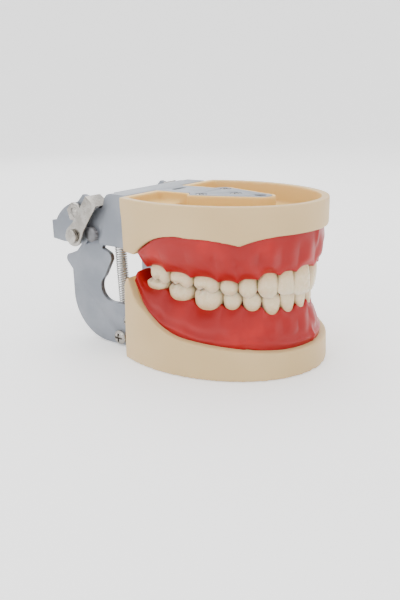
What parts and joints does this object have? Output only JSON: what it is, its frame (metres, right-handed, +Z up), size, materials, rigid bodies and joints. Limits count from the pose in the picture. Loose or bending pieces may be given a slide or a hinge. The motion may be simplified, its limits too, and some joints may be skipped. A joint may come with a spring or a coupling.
{
  "type": "dental typodont",
  "caption": "Adult typodont: hinged upper and lower jaws with cream bases, red gums and removable teeth on a steel articulator with side latches and closing springs.",
  "frame": {"origin": "on the underside of the lower base, on the mid-plane, at the widest part of the base", "axes": "+Z up, -Y towards the incisors, +Y towards the hinge, -X the patient's right"},
  "size_m": [0.072, 0.1092, 0.0617],
  "materials": {
    "cream_plastic": "satin moulded resin",
    "gum_red": "semi-gloss hard gum resin",
    "tooth_ivory": "glossy ivory resin",
    "frame_steel": "stamped, satin nickel-plated sheet",
    "bright_nickel": "bright nickel-plated turned parts",
    "spring_wire": "bright drawn wire"
  },
  "bodies": {
    "lower_jaw": {"lower_base": "cream_plastic", "lower_gum": "gum_red", "lower_right_central_incisor": "tooth_ivory", "lower_left_central_incisor": "tooth_ivory", "lower_right_lateral_incisor": "tooth_ivory", "lower_left_lateral_incisor": "tooth_ivory", "lower_right_canine": "tooth_ivory", "lower_left_canine": "tooth_ivory", "lower_right_first_premolar": "tooth_ivory", "lower_left_first_premolar": "tooth_ivory", "lower_right_second_premolar": "tooth_ivory", "lower_left_second_premolar": "tooth_ivory", "lower_right_first_molar": "tooth_ivory", "lower_left_first_molar": "tooth_ivory", "lower_right_second_molar": "tooth_ivory", "lower_left_second_molar": "tooth_ivory", "lower_right_third_molar": "tooth_ivory", "lower_left_third_molar": "tooth_ivory", "lower_tooth_screws": "bright_nickel", "lower_frame": "frame_steel", "lower_plate_screws": "bright_nickel", "right_arm": "frame_steel", "left_arm": "frame_steel", "arm_screws": "bright_nickel", "hinge_axle": "bright_nickel", "lower_spring_pins": "bright_nickel", "right_spring": "spring_wire", "left_spring": "spring_wire"},
    "upper_jaw": {"upper_base": "cream_plastic", "upper_gum": "gum_red", "upper_right_central_incisor": "tooth_ivory", "upper_left_central_incisor": "tooth_ivory", "upper_right_lateral_incisor": "tooth_ivory", "upper_left_lateral_incisor": "tooth_ivory", "upper_right_canine": "tooth_ivory", "upper_left_canine": "tooth_ivory", "upper_right_first_premolar": "tooth_ivory", "upper_left_first_premolar": "tooth_ivory", "upper_right_second_premolar": "tooth_ivory", "upper_left_second_premolar": "tooth_ivory", "upper_right_first_molar": "tooth_ivory", "upper_left_first_molar": "tooth_ivory", "upper_right_second_molar": "tooth_ivory", "upper_left_second_molar": "tooth_ivory", "upper_right_third_molar": "tooth_ivory", "upper_left_third_molar": "tooth_ivory", "upper_tooth_screws": "bright_nickel", "upper_frame": "frame_steel", "upper_plate_screws": "bright_nickel", "cross_rod": "bright_nickel", "cross_rod_nuts": "bright_nickel", "latch_bolts": "bright_nickel", "latch_spacers": "bright_nickel", "upper_spring_pins": "bright_nickel"},
    "right_latch": {"right_latch": "bright_nickel"},
    "left_latch": {"left_latch": "bright_nickel"}
  },
  "joints": [
    {"name": "jaw_hinge", "type": "hinge", "parent": "lower_jaw", "child": "upper_jaw", "pos_m": [0, 0.0416, 0.0454], "axis": [-1, 0, 0], "range_deg": [0, 21], "stiffness_Nm_per_rad": 0.05, "springref_deg": -40.11, "deforming": ["right_spring", "left_spring"]},
    {"name": "right_latch_hinge", "type": "hinge", "parent": "upper_jaw", "child": "right_latch", "pos_m": [-0.028, 0.0491, 0.0442], "axis": [-1, 0, 0], "range_deg": [0, 50]},
    {"name": "left_latch_hinge", "type": "hinge", "parent": "upper_jaw", "child": "left_latch", "pos_m": [0.028, 0.0491, 0.0442], "axis": [-1, 0, 0], "range_deg": [0, 50]}
  ]
}
